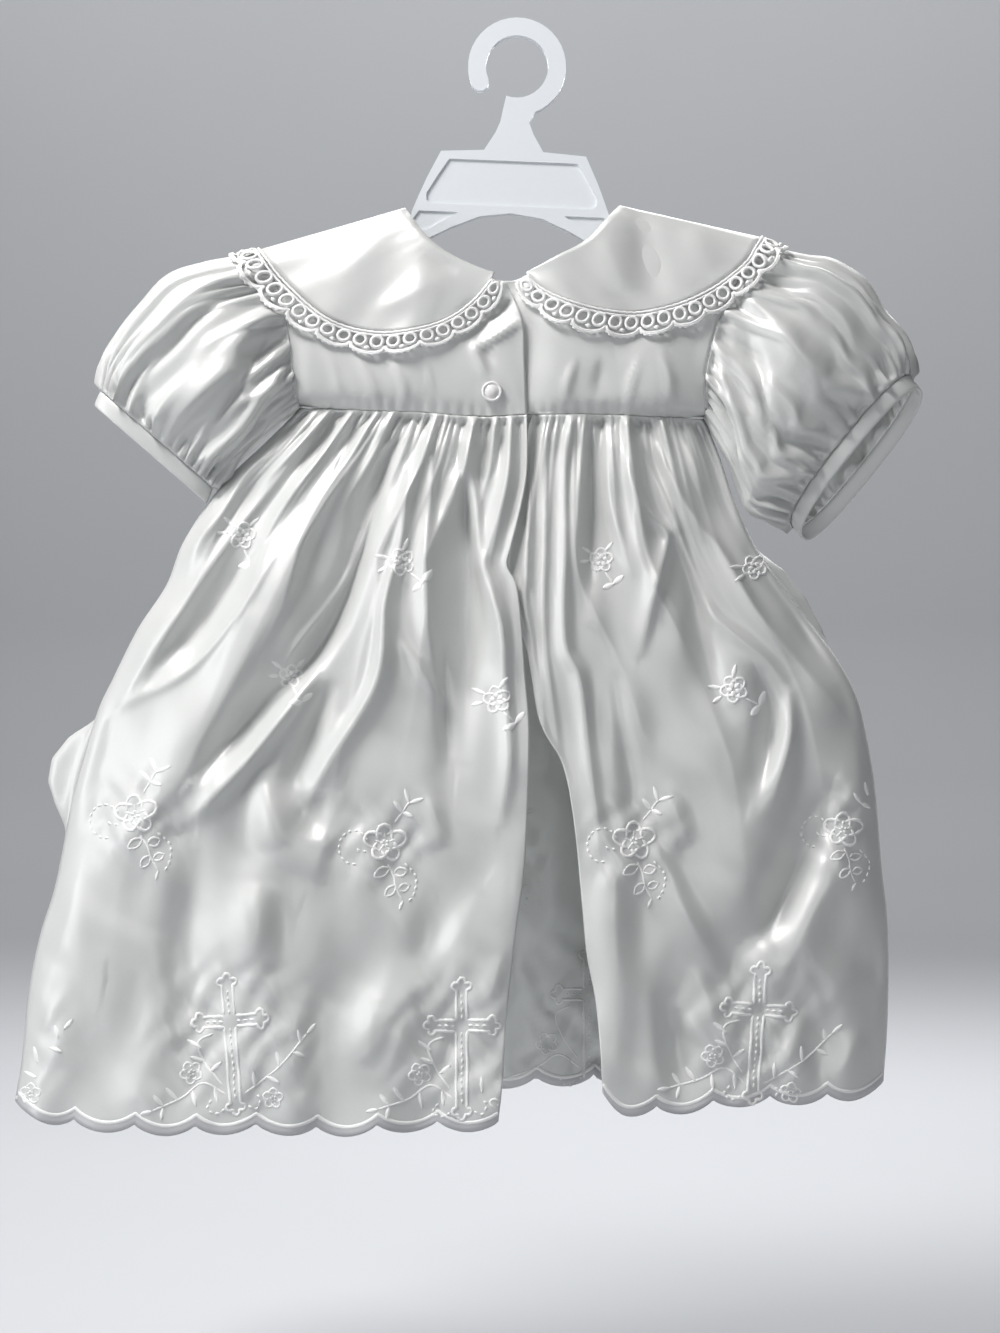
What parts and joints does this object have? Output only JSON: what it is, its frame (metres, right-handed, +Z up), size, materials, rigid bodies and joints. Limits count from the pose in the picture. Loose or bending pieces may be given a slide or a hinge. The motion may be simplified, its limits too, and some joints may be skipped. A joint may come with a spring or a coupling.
{
  "type": "christening gown on a child's hanger",
  "caption": "Short-sleeved white satin christening gown with a lace-edged flat collar, gathered skirt and scalloped hem, on a moulded hanger.",
  "frame": {"origin": "the highest point of the hook's inner curve, where the hanger bears on a rod", "axes": "+Z up along the hung gown, +X to the viewer's right of the side shown, which is the gown's back and faces -Y"},
  "size_m": [0.4083, 0.0596, 0.4981],
  "materials": {
    "satin": "soft satin sheen",
    "lace": "matt cord",
    "pearl": "pearly gloss",
    "hanger": "moulded satin gloss"
  },
  "bodies": {
    "root": {"back_skirt_left": "satin", "back_skirt_right": "satin", "back_yoke_left": "satin", "back_yoke_right": "satin", "collar_lace_left": "lace", "collar_lace_right": "lace", "collar_left": "satin", "collar_right": "satin", "cuff_left": "satin", "cuff_right": "satin", "front_skirt": "satin", "front_yoke": "satin", "hanger": "hanger", "pearl_button": "pearl", "sleeve_left": "satin", "sleeve_right": "satin"}
  },
  "joints": []
}
